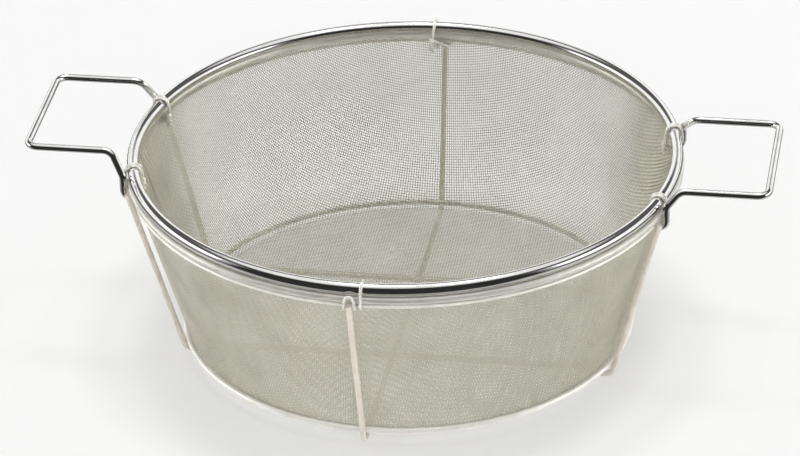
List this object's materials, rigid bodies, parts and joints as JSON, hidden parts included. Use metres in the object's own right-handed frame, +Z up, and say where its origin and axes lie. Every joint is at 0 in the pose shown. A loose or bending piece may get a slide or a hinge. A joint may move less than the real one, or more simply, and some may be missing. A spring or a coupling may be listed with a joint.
{
  "type": "two-handled wire-mesh strainer basket",
  "caption": "Round tapered strainer basket of fine woven stainless wire, with a polished rim ring, outside rib wires that form its feet, and square wire handles.",
  "frame": {"origin": "on the surface the basket stands on, under the middle of the rim", "axes": "+X along the handle axis towards the lower handle, -Y towards the front, +Z up"},
  "size_m": [0.4026, 0.3061, 0.1234],
  "materials": {
    "polished_ring": "polished stainless steel rod",
    "rolled_strip": "satin stainless steel strip",
    "bright_wire": "bright drawn stainless steel wire",
    "rib_wire": "satin drawn stainless steel wire",
    "handle_wire": "polished stainless steel wire",
    "woven_mesh": "fine plain-woven stainless steel wire",
    "tie_wire": "soft annealed stainless steel wire"
  },
  "bodies": {
    "root": {"rim_ring": "polished_ring", "hem_core_wire": "tie_wire", "hem_binding": "rolled_strip", "under_rim_wire": "bright_wire", "mesh_basket": "woven_mesh", "base_ring": "bright_wire", "front_back_rib_wire": "rib_wire", "front_cross_rib_wire": "rib_wire", "back_cross_rib_wire": "rib_wire", "left_handle": "handle_wire", "right_handle": "handle_wire", "front_tie": "tie_wire", "back_tie": "tie_wire", "left_front_tie": "tie_wire", "left_back_tie": "tie_wire", "right_front_tie": "tie_wire", "right_back_tie": "tie_wire"}
  },
  "joints": []
}
